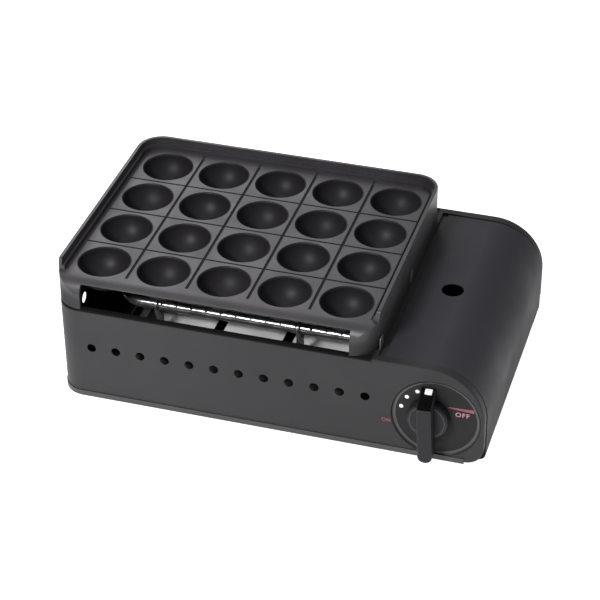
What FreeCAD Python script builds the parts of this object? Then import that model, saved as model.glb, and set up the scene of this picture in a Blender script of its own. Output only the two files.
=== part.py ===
"""Takoyaki maker for a gas cartridge: twenty-cup cast plate, tube burner and cartridge bay.

Millimetres, +Z up, the front is -Y. The origin lies on the table under the middle of the
whole cooker, knob included.
"""

import FreeCAD, Part
import math
import os
import Sketcher

V = FreeCAD.Vector
doc = FreeCAD.newDocument("takoyaki_maker")
sheet = doc.addObject("Spreadsheet::Sheet", "Sizes")
nodes = {}


# ---------------------------------------------------------------- driving sizes

# whole cooker
cooker_width = 334.0
rim_height = 83.5
foot_height = 3.0
knob_reach = 16.0
running_gap = 0.3
slip_gap = 0.05

# sheet-steel shell and base pan
shell_depth = 213.4
sheet_steel = 0.8
pan_steel = 0.6
pan_lip = 4.5
shell_corner_r = 18.0
rim_bend_r = 1.5
end_panel_r = 41.0
end_panel_foot_r = 14.0
end_flange = 7.0
side_ledge = 6.0
front_ledge = 4.5
rear_ledge = 12.4
strip_width = 8.4
strip_overhang = 1.4
chamber_corner_r = 12.0
vent_d = 7.2
vent_right_inset = 7.1
vent_count = 12
vent_inset = 29.0
vent_height = 49.2
side_vent_d = 9.0
side_vent_pitch = 49.0
side_vent_count = 3
side_vent_height = 53.0

# cast plate
bay_width = 84.0
plate_setback = 0.4
plate_rear_gap = 4.8
plate_rise = 22.9
plate_rim = 8.6
plate_rim_wall = 2.5
plate_floor = 3.0
skirt_wall = 3.2
plate_corner_r = 20.0
plate_nose_r = 12.0
plate_nose_lean = 0.5
cup_land = 7.5
side_land = 30.0
cup_wall = 2.8
cup_bevel = 0.6
cup_columns = 5
cup_rows = 4
front_land = 33.65
rear_land = 32.05
rim_setback = 14.6
rim_end_run = 2.0
rim_end_r = 3.0
rim_step = 2.0
rim_step_height = 3.2
window_left_leg = 22.0
window_right_leg = 19.0
groove_width = 2.2
cross_groove_width = 1.2
groove_depth = 0.8
groove_front_gap = 17.0
edge_groove_width = 2.0
tab_width = 8.0
tab_rise = 9.0

# burner
burner_height = 57.5
burner_d = 9.0
burner_bore = 7.6
burner_bend_r = 19.0
burner_left_inset = 30.0
burner_right_gap = 24.0
port_d = 2.0
port_end_gap = 17.2
port_count = 13
port_tilt = 45.0
mixing_wall = 0.7
mixing_insert = 12.0
mixing_neck = 4.0
mouth_d = 18.0
mouth_length = 12.0
clip_left_inset = 32.0
clip_right_inset = 51.4
bracket_steel = 1.2
bracket_width = 16.0

# heat shield tray
tray_height = 30.0
tray_steel = 0.6
tray_left_gap = 36.4
tray_right_gap = 21.6
tray_front_gap = 19.0
tray_rear_gap = 21.8
tray_wall = 10.0
tray_foot = 8.0
slot_width = 8.0
slot_side_gap = 12.0
slot_end_gap = 31.3
slot_count = 4

# gas valve, regulator and igniter
valve_inset = 42.0
valve_height = 41.0
dial_d = 67.0
dial_shift = 5.0
dial_drop = 1.6
dial_depth = 2.0
dial_edge_r = 0.7
spindle_d = 6.0
spindle_flat = 1.2
spindle_hole = 9.0
valve_plate = 1.5
valve_plate_width = 40.0
valve_plate_foot = 10.0
valve_body_width = 34.0
valve_body_depth = 12.5
valve_body_low = 17.0
valve_body_high = 25.0
governor_d = 54.0
governor_depth = 5.5
governor_cap_depth = 1.5
magnet_d = 46.0
magnet_bore = 30.0
magnet_depth = 3.5
pipe_d = 5.0
pipe_bore = 3.0
pipe_bend_r = 6.0
pipe_side_gap = 11.5
jet_d = 8.0
jet_bore = 1.0
jet_reach = 4.0
jet_plate = 24.0
igniter_length = 11.0
igniter_width = 10.0
igniter_height = 16.0
lead_d = 3.0
lead_bend_r = 4.0
lead_side_gap = 4.0
electrode_inset = 7.0
electrode_gap = 14.0
electrode_d = 2.0
insulator_d = 6.0
insulator_length = 11.5

# control knob
knob_disc_d = 31.0
knob_disc_depth = 8.0
knob_bevel = 2.2
knob_standoff = 0.5
grip_width = 11.0
grip_up = 16.0
grip_down = 31.4
grip_round = 5.0
grip_edge_r = 1.2
pointer_up = 25.0
pointer_edge = 1.0
knob_tilt = 2.3

# cartridge bay and its cover
cover_steel = 0.8
cover_drop = 0.8
cover_r = 41.0
cover_foot_r = 6.0
cover_strip_gap = 6.4
cover_end_gap = 0.8
cover_lift = 3.2
cover_lip = 1.0
finger_hole_d = 17.0
finger_hole_inset = 27.3
finger_hole_shift = 2.9
deck_overlap = 7.6
partition_foot = 9.0
cartridge_d = 68.0
cradle_gap = 0.5
cradle_flat = 14.0
cradle_width = 40.0
cradle_end_gap = 39.1
hinge_height = 8.2
hinge_r = 2.6
hinge_pin_d = 2.5
hinge_leaf = 1.0
hinge_leaf_width = 16.0
hinge_leaf_foot = 10.0
hinge_arm = 15.0
hinge_strap_width = 36.0
hinge_strap_height = 22.0
hinge_end_inset = 30.0
panel_thickness = 3.0
panel_width = 40.0
panel_height = 30.0

# feet
foot_d = 15.0
foot_neck_d = 6.0
foot_bulb = 2.0
foot_inset = 20.0

# ---------------------------------------------------------------- sizes in the sheet

class Size:
    """A number together with the sheet expression that drives it."""

    def __init__(self, value, text):
        self.value = float(value)
        self.text = text

    def __add__(self, other):
        other = as_size(other)
        return Size(self.value + other.value, f"({self.text} + {other.text})")

    def __radd__(self, other):
        return as_size(other) + self

    def __sub__(self, other):
        other = as_size(other)
        return Size(self.value - other.value, f"({self.text} - {other.text})")

    def __rsub__(self, other):
        return as_size(other) - self

    def __mul__(self, other):
        other = as_size(other)
        return Size(self.value * other.value, f"({self.text} * {other.text})")

    def __rmul__(self, other):
        return as_size(other) * self

    def __truediv__(self, other):
        other = as_size(other)
        return Size(self.value / other.value, f"({self.text} / {other.text})")

    def __neg__(self):
        return as_size(0) - self


def as_size(number):
    """A plain number as a Size, so that sums can mix both."""
    if isinstance(number, Size):
        return number
    return Size(number, repr(float(number)))


def root(size):
    return Size(math.sqrt(size.value), f"sqrt({size.text})")


def sine(degrees):
    return Size(math.sin(math.radians(degrees.value)), f"sin({degrees.text})")


def cosine(degrees):
    return Size(math.cos(math.radians(degrees.value)), f"cos({degrees.text})")


def driving(alias, value):
    """Write one driving size into the sheet under its alias."""
    driving.row += 1
    sheet.set(f"A{driving.row}", alias)
    sheet.set(f"B{driving.row}", str(value))
    sheet.setAlias(f"B{driving.row}", alias)
    return Size(value, f"Sizes.{alias}")


driving.row = 0

for alias, number in dict(vars()).items():
    if isinstance(number, (int, float)):
        vars()[alias] = driving(alias, number)
doc.recompute()

# ---------------------------------------------------------------- shared places

left_x = -cooker_width / 2
right_x = cooker_width / 2
rear_y = (shell_depth + pan_steel + knob_reach) / 2
shell_left = left_x + pan_steel
shell_right = right_x - pan_steel
shell_rear = rear_y - pan_steel
shell_front = shell_rear - shell_depth
pan_floor = foot_height + pan_steel
pan_right = shell_right - end_panel_foot_r
knob_front = shell_front - knob_reach

plate_front = shell_front + plate_setback
plate_right = right_x - bay_width
plate_surface = rim_height + plate_rise
plate_underside = plate_surface - plate_floor
plate_top = plate_surface + plate_rim
plate_rear = shell_rear - plate_rear_gap
rim_front = plate_front + rim_setback
first_cup_x = left_x + side_land
last_cup_x = plate_right - side_land
first_cup_y = plate_front + front_land
last_cup_y = plate_rear - rear_land
cup_pitch_x = (last_cup_x - first_cup_x) / (cup_columns - 1)
cup_pitch_y = (last_cup_y - first_cup_y) / (cup_rows - 1)
cup_r = (cup_pitch_x + cup_pitch_y) / 4 - cup_land / 2
cup_centre_y = (first_cup_y + last_cup_y) / 2

strip_right = plate_right + strip_overhang
strip_left = strip_right - strip_width
wall_left = strip_right - sheet_steel
cover_left = plate_right + cover_strip_gap
cover_top = rim_height - cover_drop
cover_front = shell_front + end_flange + cover_end_gap
cover_rear = shell_rear - end_flange - cover_end_gap
deck_top = cover_top - cover_steel - running_gap
hinge_x = right_x - cover_steel - running_gap - hinge_r
hinge_front_y = cover_front + hinge_end_inset
hinge_rear_y = cover_rear - hinge_end_inset

burner_front_y = cup_centre_y - cup_pitch_y
burner_rear_y = cup_centre_y + cup_pitch_y
burner_left_x = left_x + burner_left_inset
burner_right_x = strip_right - burner_right_gap
tray_left = shell_left + tray_left_gap
tray_right = wall_left - tray_right_gap
tray_front = shell_front + tray_front_gap
tray_rear = shell_rear - tray_rear_gap

dial_floor = shell_front + dial_depth
bracket_front = dial_floor + sheet_steel
valve_front = bracket_front + valve_plate
governor_front = valve_front + valve_body_depth
governor_rear = governor_front + governor_depth
magnet_front = governor_rear + governor_cap_depth
magnet_rear = magnet_front + magnet_depth
valve_x = right_x - valve_inset
dial_x = valve_x + dial_shift
dial_z = valve_height - dial_drop
valve_left = valve_x - valve_body_width / 2
valve_top = valve_height + valve_body_high
pipe_x = strip_right + pipe_side_gap
pipe_y = valve_front + valve_body_depth / 2
jet_rear = strip_right + hinge_leaf
electrode_x = tray_right - electrode_inset
electrode_y = burner_front_y + electrode_gap
insulator_seat = burner_height - insulator_length
lead_z = insulator_seat - 4


# ---------------------------------------------------------------- modelling helpers

PLANES = {"XY": ("XY_Plane", 1), "XZ": ("XZ_Plane", -1), "YZ": ("YZ_Plane", 1)}


def bind(obj, prop, size):
    obj.setExpression(prop, as_size(size).text)


def new_body(label):
    body = doc.addObject("PartDesign::Body", label)
    body.Label = label
    return body


def origin_feature(body, role):
    return next(f for f in body.Origin.OriginFeatures if f.Role == role)


def new_sketch(body, plane, at=0):
    """A sketch on one of the body's own planes, moved along its normal to the place given."""
    role, sense = PLANES[plane]
    sketch = body.newObject("Sketcher::SketchObject", body.Label + "_sketch")
    sketch.AttachmentSupport = [(origin_feature(body, role), "")]
    sketch.MapMode = "FlatFace"
    bind(sketch, "AttachmentOffset.Base.z", as_size(at) * sense)
    return sketch


def lock(sketch, geometry, point, x, y):
    """Hold a sketch point at x, y from the sketch origin."""
    for kind, size in (("DistanceX", x), ("DistanceY", y)):
        size = as_size(size)
        index = sketch.addConstraint(Sketcher.Constraint(kind, geometry, point, size.value))
        sketch.setExpression(f"Constraints[{index}]", size.text)


def circle(sketch, x, y, diameter):
    x, y, diameter = as_size(x), as_size(y), as_size(diameter)
    shape = Part.Circle(V(x.value, y.value, 0), V(0, 0, 1), diameter.value / 2)
    index = sketch.addGeometry(shape, False)
    lock(sketch, index, 3, x, y)
    size = sketch.addConstraint(Sketcher.Constraint("Diameter", index, diameter.value))
    sketch.setExpression(f"Constraints[{size}]", diameter.text)


def corner_arc(before, corner, after, radius):
    """The tangent points and the arc that round one corner."""
    to_before = (before - corner).normalize()
    to_after = (after - corner).normalize()
    half_angle = to_before.getAngle(to_after) / 2
    start = corner + to_before * (radius / math.tan(half_angle))
    end = corner + to_after * (radius / math.tan(half_angle))
    centre = corner + (to_before + to_after).normalize() * (radius / math.sin(half_angle))
    left_turn = to_before.cross(to_after).z < 0
    first, last = (start, end) if left_turn else (end, start)
    angles = [math.atan2(p.y - centre.y, p.x - centre.x) for p in (first, last)]
    if angles[1] < angles[0]:
        angles[1] += 2 * math.pi
    arc = Part.ArcOfCircle(Part.Circle(centre, V(0, 0, 1), radius), *angles)
    return start, end, arc, left_turn


def outline(sketch, corners, closed=True):
    """Straight runs from corner to corner; a third size rounds that corner."""
    corners = [tuple(as_size(part) for part in corner) for corner in corners]
    places = [V(c[0].value, c[1].value, 0) for c in corners]
    count = len(corners)
    starts, ends, arcs = list(places), list(places), {}
    for i, corner in enumerate(corners):
        if len(corner) == 3:
            found = corner_arc(places[i - 1], places[i], places[(i + 1) % count], corner[2].value)
            starts[i], ends[i] = found[0], found[1]
            arcs[i] = (sketch.addGeometry(found[2], False), found[3])
    runs = count if closed else count - 1
    lines = []
    for i in range(runs):
        line = Part.LineSegment(ends[i], starts[(i + 1) % count])
        lines.append(sketch.addGeometry(line, False))
    for i, corner in enumerate(corners):
        before = lines[i - 1] if closed or i > 0 else None
        after = lines[i] if i < runs else None
        if i in arcs:
            round_corner(sketch, corner, arcs[i], before, after)
        elif after is None:
            lock(sketch, before, 2, corner[0], corner[1])
        else:
            lock(sketch, after, 1, corner[0], corner[1])
            if before is not None:
                sketch.addConstraint(Sketcher.Constraint("Coincident", before, 2, after, 1))


def round_corner(sketch, corner, arc, before, after):
    """Tie an arc between two lines that point at a fixed corner."""
    index, left_turn = arc
    first, last = (1, 2) if left_turn else (2, 1)
    tip = sketch.addGeometry(Part.Point(V(corner[0].value, corner[1].value, 0)), True)
    lock(sketch, tip, 1, corner[0], corner[1])
    for line in (before, after):
        sketch.addConstraint(Sketcher.Constraint("PointOnObject", tip, 1, line))
    sketch.addConstraint(Sketcher.Constraint("Tangent", before, 2, index, first))
    sketch.addConstraint(Sketcher.Constraint("Tangent", index, last, after, 1))
    size = sketch.addConstraint(Sketcher.Constraint("Radius", index, corner[2].value))
    sketch.setExpression(f"Constraints[{size}]", corner[2].text)


def rectangle(low_x, low_y, high_x, high_y, radius=None):
    """The four corners of an upright rectangle, rounded where a radius is given."""
    corners = [(low_x, low_y), (high_x, low_y), (high_x, high_y), (low_x, high_y)]
    if radius is None:
        return corners
    return [corner + (radius,) for corner in corners]


def extrude(body, plane, start, end, draw, cut=False, taper=None):
    """Pad or pocket a drawn sketch from start to end along the plane's axis."""
    sketch = new_sketch(body, plane, start)
    draw(sketch)
    kind = "PartDesign::Pocket" if cut else "PartDesign::Pad"
    feature = body.newObject(kind, body.Label + "_step")
    feature.Profile = sketch
    bind(feature, "Length", as_size(end) - start)
    feature.Reversed = (PLANES[plane][1] < 0) != cut
    if taper is not None:
        bind(feature, "TaperAngle", taper)
    sketch.Visibility = False
    doc.recompute()
    return feature


def pad(body, plane, start, end, corners, taper=None):
    return extrude(body, plane, start, end, lambda s: outline(s, corners), taper=taper)


def pocket(body, plane, start, end, corners):
    """Cut a straight-sided shape, and make sure that it took something away."""
    volume = body.Shape.Volume
    feature = extrude(body, plane, start, end, lambda s: outline(s, corners), cut=True)
    check_less(body, volume)
    return feature


def drill(body, plane, start, end, holes):
    """Cut round holes, each an (x, y, diameter) in the sketch."""
    volume = body.Shape.Volume

    def draw(sketch):
        for hole in holes:
            circle(sketch, *hole)

    feature = extrude(body, plane, start, end, draw, cut=True)
    check_less(body, volume)
    return feature


def check_less(body, volume):
    if not body.Shape.Volume < volume - 1e-6:
        raise RuntimeError(f"a cut in {body.Label} removed nothing")


def boss(body, plane, start, end, x, y, diameter):
    return extrude(body, plane, start, end, lambda s: circle(s, x, y, diameter))


def pattern(body, originals, directions):
    """Repeat features; each direction is an axis role, a pitch and a count."""
    feature = body.newObject("PartDesign::LinearPattern", body.Label + "_pattern")
    feature.Originals = originals
    for suffix, (role, pitch, count) in zip(("", "2"), directions):
        setattr(feature, "Direction" + suffix, (origin_feature(body, role), [""]))
        setattr(feature, "Mode" + suffix, "Spacing")
        setattr(feature, "Spacings" + suffix, [-1.0] * (int(count.value) - 1))
        bind(feature, "Offset" + suffix, pitch)
        bind(feature, "Occurrences" + suffix, count)
    body.Tip = feature
    doc.recompute()
    return feature


def round_edges(body, radius, chosen):
    """Fillet the edges of the body's last feature that the test picks."""
    base = body.Tip
    names = [f"Edge{i}" for i, edge in enumerate(base.Shape.Edges, 1) if chosen(edge)]
    feature = body.newObject("PartDesign::Fillet", body.Label + "_round")
    feature.Base = (base, names)
    bind(feature, "Radius", radius)
    body.Tip = feature
    doc.recompute()
    return feature


def turned(label, axis, corners, place=(0, 0, 0)):
    """A solid of revolution; corners are (radius, distance along the axis)."""
    body = new_body(label)
    plane = "XZ" if axis == "Z" else "XY"
    if axis == "X":
        corners = [(along, radius) for radius, along in corners]
    sketch = new_sketch(body, plane)
    outline(sketch, corners)
    feature = body.newObject("PartDesign::Revolution", label + "_turn")
    feature.Profile = sketch
    feature.ReferenceAxis = (origin_feature(body, axis + "_Axis"), [""])
    feature.Angle = 360
    put(body, *place)
    doc.recompute()
    return body


def put(obj, x, y, z):
    for name, size in (("x", x), ("y", y), ("z", z)):
        bind(obj, "Placement.Base." + name, size)


def ring(label, axis, outer_d, inner_d, start, end, place):
    return turned(label, axis, [(as_size(inner_d) / 2, start), (as_size(outer_d) / 2, start),
                                (as_size(outer_d) / 2, end), (as_size(inner_d) / 2, end)], place)


def group(label, members):
    """Like pieces that share one node."""
    compound = doc.addObject("Part::Compound", label)
    compound.Label = label
    compound.Links = members
    nodes[label] = compound


def keep(body):
    nodes[body.Label] = body
    return body


def flat_top(edge, height):
    return all(abs(v.Z - height.value) < 1e-6 for v in edge.Vertexes)


def upright(edge):
    return len(edge.Vertexes) == 2 and abs(edge.tangentAt(edge.FirstParameter).z) > 0.999


# ---------------------------------------------------------------- shell and pan

def base_pan():
    """Shallow tray that closes the bottom, with a lip round three sides."""
    body = new_body("base_pan")
    outer_r = shell_corner_r + pan_steel
    outer = [(left_x, shell_front - pan_steel, outer_r), (pan_right, shell_front - pan_steel),
             (pan_right, rear_y), (left_x, rear_y, outer_r)]
    inner = [(shell_left, shell_front, shell_corner_r), (pan_right + 1, shell_front),
             (pan_right + 1, shell_rear), (shell_left, shell_rear, shell_corner_r)]
    pad(body, "XY", foot_height, foot_height + pan_lip, outer)
    pocket(body, "XY", pan_floor, foot_height + pan_lip + 1, inner)
    drill(body, "XY", foot_height - 1, pan_floor + 1, [(x, y, foot_neck_d) for x, y in foot_places()])
    keep(body)


def foot_places():
    xs = (left_x + foot_inset, pan_right - foot_inset)
    ys = (shell_front + foot_inset, shell_rear - foot_inset)
    return [(x, y) for x in xs for y in ys]


def rubber_feet():
    """Push-in feet: a tapered pad below the pan, a neck in its hole and a bulb above."""
    neck_r = foot_neck_d / 2
    bulb_r = neck_r + foot_bulb / 2
    profile = [(0, 0), (foot_d / 2 - 1, 0), (foot_d / 2, foot_height), (neck_r, foot_height),
               (neck_r, pan_floor), (bulb_r, pan_floor), (neck_r - 1, pan_floor + foot_bulb),
               (0, pan_floor + foot_bulb)]
    feet = []
    for number, (x, y) in enumerate(foot_places(), 1):
        feet.append(turned(f"foot_{number}", "Z", profile, (x, y, 0)))
    group("rubber_feet", feet)


def body_shell():
    """Pressed shell: flat rim, front and rear panels with D-shaped ends, left wall."""
    body = shell_block("body_shell", as_size(0))
    cavity = shell_block("shell_cavity", sheet_steel)
    cut = body.newObject("PartDesign::Boolean", "shell_skin")
    cut.Type = "Cut"
    cut.Group = [cavity]
    body.Tip = cut
    doc.recompute()
    open_underside(body)
    cut_chamber(body)
    cut_bay(body)
    press_dial(body)
    first_vent = left_x + vent_inset
    vent_pitch = (wall_left - vent_right_inset - first_vent) / (vent_count - 1)
    vents = [(first_vent + vent_pitch * i, vent_height, vent_d)
             for i in range(int(vent_count.value))]
    drill(body, "XZ", shell_front - 1, shell_rear + 1, vents)
    middle = (side_vent_count - 1) / 2
    side_vents = [(cup_centre_y + side_vent_pitch * (i - middle), side_vent_height, side_vent_d)
                  for i in range(int(side_vent_count.value))]
    drill(body, "YZ", shell_left - 1, shell_left + sheet_steel + 1, side_vents)
    keep(body)


def shell_block(label, inset):
    """The outside form of the shell, or its cavity when it is inset by the sheet."""
    block = new_body(label)
    left = shell_left + inset
    right = shell_right - inset
    top = rim_height - inset
    low = pan_floor + inset
    section = [(left, low), (right, low, end_panel_foot_r - inset),
               (right, top, end_panel_r - inset), (left, top)]
    front = shell_front + inset
    rear = shell_rear - inset
    pad(block, "XZ", front, rear, section)
    round_edges(block, shell_corner_r - inset, lambda e: upright(e) and e.Vertexes[0].X < 0)
    round_edges(block, rim_bend_r - inset, lambda e: rim_edge(e, left, front, rear, top))
    corner_r = shell_corner_r - inset
    foot = [(left, front, corner_r), (pan_right, front), (pan_right, rear), (left, rear, corner_r)]
    pad(block, "XY", low, low + rim_bend_r, foot)
    return block


def rim_edge(edge, left, front, rear, top):
    """Edges of the front, rear and left faces that run round the top of the shell."""
    middle = edge.valueAt((edge.FirstParameter + edge.LastParameter) / 2)
    at_end = min(abs(middle.y - front.value), abs(middle.y - rear.value)) < 1e-3
    at_corner = middle.x < left.value + shell_corner_r.value
    if flat_top(edge, top):
        return at_end or at_corner
    return at_end and middle.z > rim_height.value / 2 and isinstance(edge.Curve, Part.Circle)


def open_underside(body):
    """Leave the walls standing on the pan, with no floor of their own."""
    steel = sheet_steel
    corner_r = shell_corner_r - steel
    opening = [(shell_left + steel, shell_front + steel, corner_r), (pan_right, shell_front + steel),
               (pan_right, shell_rear - steel), (shell_left + steel, shell_rear - steel, corner_r)]
    pocket(body, "XY", pan_floor - 1, pan_floor + steel, opening)


def cut_chamber(body):
    """The burner opening, which leaves a ledge for the plate all round."""
    opening = rectangle(shell_left + side_ledge, shell_front + front_ledge,
                        strip_left, shell_rear - rear_ledge, chamber_corner_r)
    pocket(body, "XY", rim_height - sheet_steel - 1, rim_height + 1, opening)


def cut_bay(body):
    """The cartridge bay, open above and to the right between the two D-shaped ends."""
    bay = rectangle(strip_right, shell_front + end_flange, right_x + 1, shell_rear - end_flange)
    pocket(body, "XY", pan_floor - 1, rim_height + 1, bay)


def press_dial(body):
    """Round recess for the knob, pressed into the right end of the front panel."""
    boss(body, "XZ", shell_front, bracket_front, dial_x, dial_z, dial_d + sheet_steel * 2)
    drill(body, "XZ", shell_front - 1, dial_floor, [(dial_x, dial_z, dial_d)])
    round_edges(body, dial_edge_r, dial_mouth)
    drill(body, "XZ", dial_floor - 1, bracket_front + 1, [(valve_x, valve_height, spindle_hole)])


def dial_mouth(edge):
    curve = edge.Curve
    return (isinstance(curve, Part.Circle) and abs(curve.Radius - dial_d.value / 2) < 1e-3
            and abs(curve.Center.y - shell_front.value) < 1e-3)


def partition_wall():
    """Wall between burner chamber and cartridge bay, with a deck under the cover's edge."""
    body = new_body("partition_wall")
    front = shell_front + sheet_steel
    rear = shell_rear - sheet_steel
    deck_right = cover_left + deck_overlap
    deck_low = deck_top - sheet_steel
    foot_top = pan_floor + sheet_steel
    section = [(wall_left, pan_floor), (strip_right + partition_foot, pan_floor),
               (strip_right + partition_foot, foot_top), (strip_right, foot_top),
               (strip_right, deck_low), (deck_right, deck_low), (deck_right, deck_top),
               (wall_left, deck_top)]
    pad(body, "XZ", front, rear, section)
    drill(body, "YZ", wall_left - 1, strip_right + 1, [(burner_front_y, burner_height, jet_d)])
    slot = rectangle(cup_centre_y - panel_width / 2, valve_height,
                     cup_centre_y + panel_width / 2, valve_height + panel_thickness)
    pocket(body, "YZ", wall_left - 1, strip_right + 1, slot)
    drill(body, "YZ", wall_left - 1, strip_right + 1, [(electrode_y, lead_z, lead_d)])
    keep(body)


def plate_tabs():
    """Upright tabs on the rim that keep the cast plate in place."""
    inner = plate_right + running_gap
    tabs = []
    places = [("tab_right", inner, cup_centre_y), ("tab_front_right", inner, shell_front + 18)]
    for name, x, y in places:
        tab = new_body(name)
        corners = [(y - tab_width / 2, rim_height), (y + tab_width / 2, rim_height),
                   (y + tab_width / 2, rim_height + tab_rise, tab_width / 4),
                   (y - tab_width / 2, rim_height + tab_rise, tab_width / 4)]
        pad(tab, "YZ", x, x + sheet_steel, corners)
        tabs.append(tab)
    group("plate_locating_tabs", tabs)


# ---------------------------------------------------------------- cast plate

def takoyaki_plate():
    """Cast plate: skirt with a window front and rear, raised rim, cups and oil grooves."""
    body = new_body("takoyaki_plate")
    pad(body, "XY", rim_height, plate_top, plate_outline(as_size(0)))
    cut_plate_top(body)
    cut = body.newObject("PartDesign::Boolean", "plate_skirt")
    cut.Type = "Cut"
    cut.Group = [plate_hollow()]
    body.Tip = cut
    doc.recompute()
    cut_skirt_windows(body)
    add_cups(body)
    cut_grooves(body)
    keep(body)


def plate_outline(inset):
    """The plate seen from above, or a line that keeps the given distance inside it."""
    return rectangle(left_x + inset, plate_front + inset, plate_right - inset,
                     plate_rear - inset, plate_corner_r - inset)


def nose(inset, low, top):
    """The rounded front edge in section, from the skirt up to the surface."""
    front = plate_front + inset
    return [(front - plate_nose_lean, low), (front + plate_nose_lean, top, plate_nose_r - inset)]


def cut_plate_top(body):
    """Lower the surface inside the rim and its step, and round off the front."""
    step_top = plate_surface + rim_step_height
    pocket(body, "XY", step_top, plate_top + 1, plate_outline(plate_rim_wall))
    pocket(body, "XY", plate_surface, plate_top + 1, plate_outline(plate_rim_wall + rim_step))
    above = plate_top + plate_rim
    rim_full = rim_front + rim_end_run
    behind = rim_full + rim_end_r * 2
    front = nose(as_size(0), rim_height, plate_surface)
    front += [(rim_front, plate_surface), (rim_full, plate_top, rim_end_r), (behind, plate_top),
              (behind, above), (plate_front - plate_nose_r, above),
              (plate_front - plate_nose_r, rim_height)]
    pocket(body, "YZ", left_x - 1, plate_right + 1, front)


def plate_hollow():
    """The hollow inside the skirt, which follows the rounded front edge."""
    body = new_body("plate_hollow")
    low = rim_height - 1
    top = plate_underside
    pad(body, "XY", low, top, plate_outline(skirt_wall))
    front = nose(skirt_wall, low, top)
    front += [(plate_front + plate_nose_r * 2, top + plate_nose_lean),
              (plate_front + plate_nose_r * 2, plate_top), (plate_front, plate_top), (plate_front, low)]
    pocket(body, "YZ", left_x, plate_right, front)
    return body


def rim_foot(outer, width):
    """A strip along the rim on the left, rear and right, open towards the front."""
    front = rim_front + width
    left = left_x + outer
    right = plate_right - outer
    rear = plate_rear - outer
    outer_r = plate_corner_r - outer
    inner_r = outer_r - width
    return [(left, front), (left, rear, outer_r), (right, rear, outer_r), (right, front),
            (right - width, front), (right - width, rear - width, inner_r),
            (left + width, rear - width, inner_r), (left + width, front)]


def cut_skirt_windows(body):
    """The openings in the front and rear of the skirt, up to the underside of the plate."""
    low_x = left_x + window_left_leg
    high_x = plate_right - window_right_leg
    window = rectangle(low_x, rim_height - 1, high_x, plate_underside)
    pocket(body, "XZ", plate_front - 1, plate_front + plate_nose_r, window)
    pocket(body, "XZ", plate_rear - skirt_wall - 1, plate_rear + 1, window)


def add_cups(body):
    """One cup, repeated over the columns and rows."""
    outer = [(0, plate_surface - cup_r - cup_wall)]
    for degrees in (62, 35):
        angle = as_size(degrees)
        outer.append(((cup_r + cup_wall) * cosine(angle),
                      plate_surface - (cup_r + cup_wall) * sine(angle)))
    outer += [(cup_r + cup_wall, plate_underside), (cup_r + cup_wall, plate_surface - 1),
              (0, plate_surface - 1)]
    inner = [(0, plate_surface - cup_r)]
    for degrees in (66, 44, 22):
        angle = as_size(degrees)
        inner.append((cup_r * cosine(angle), plate_surface - cup_r * sine(angle)))
    inner += [(cup_r, plate_surface - cup_bevel), (cup_r + cup_bevel, plate_surface),
              (cup_r + cup_bevel, plate_surface + 1), (0, plate_surface + 1)]
    bowl = cup_turn(body, outer, "PartDesign::Revolution")
    repeat_cup(body, bowl)
    volume = body.Shape.Volume
    hole = cup_turn(body, inner, "PartDesign::Groove")
    repeat_cup(body, hole)
    check_less(body, volume)


def cup_turn(body, profile, kind):
    """Turn a cup outline about the upright axis of the front left cup."""
    sketch = new_sketch(body, "XZ", first_cup_y)
    shifted = [(first_cup_x + radius, height) for radius, height in profile]
    outline(sketch, shifted)
    ends = [V(first_cup_x.value, height, 0) for height in (0, rim_height.value)]
    axis = sketch.addGeometry(Part.LineSegment(*ends), True)
    lock(sketch, axis, 1, first_cup_x, 0)
    lock(sketch, axis, 2, first_cup_x, rim_height)
    feature = body.newObject(kind, body.Label + "_cup")
    feature.Profile = sketch
    feature.ReferenceAxis = (sketch, ["Axis0"])
    feature.Angle = 360
    sketch.Visibility = False
    doc.recompute()
    return feature


def repeat_cup(body, feature):
    pattern(body, [feature], [("X_Axis", cup_pitch_x, cup_columns),
                              ("Y_Axis", cup_pitch_y, cup_rows)])


def cut_grooves(body):
    """Shallow oil grooves between the cups and along the foot of the rim."""
    bottom = plate_surface - groove_depth
    foot = plate_rim_wall + rim_step
    edge = rim_foot(foot, edge_groove_width)
    pocket(body, "XY", bottom, plate_surface, edge)
    into = foot + edge_groove_width / 2
    front = first_cup_y - groove_front_gap
    rear = plate_rear - into
    left = left_x + into
    right = plate_right - into
    for column in range(1, int(cup_columns.value)):
        middle = first_cup_x + cup_pitch_x * (column - 0.5)
        groove = rectangle(middle - groove_width / 2, front, middle + groove_width / 2, rear)
        pocket(body, "XY", bottom, plate_surface, groove)
    for row in range(1, int(cup_rows.value)):
        middle = first_cup_y + cup_pitch_y * (row - 0.5)
        half = cross_groove_width / 2
        groove = rectangle(left, middle - half, right, middle + half)
        pocket(body, "XY", bottom, plate_surface, groove)


# ---------------------------------------------------------------- burner

def pipe_run(body, plane, at, route, outer_d, inner_d, start_plane):
    """Sweep a round pipe along a flat route; its first run lies along the profile's normal."""
    path = new_sketch(body, plane, at)
    outline(path, route, closed=False)
    first = tuple(as_size(part) for part in route[0])
    along, across = (first[0], first[1]) if start_plane == "YZ" else (first[1], first[0])
    profile = new_sketch(body, start_plane, along)
    places = {"YZ": (across, at), "XZ": (across, at)}
    circle(profile, *places[start_plane], outer_d)
    if inner_d is not None:
        circle(profile, *places[start_plane], inner_d)
    feature = body.newObject("PartDesign::AdditivePipe", body.Label + "_sweep")
    feature.Profile = profile
    feature.Spine = (path, [f"Edge{i + 1}" for i in range(len(path.Shape.Edges))])
    body.Tip = feature
    path.Visibility = False
    profile.Visibility = False
    doc.recompute()
    return feature


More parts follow.
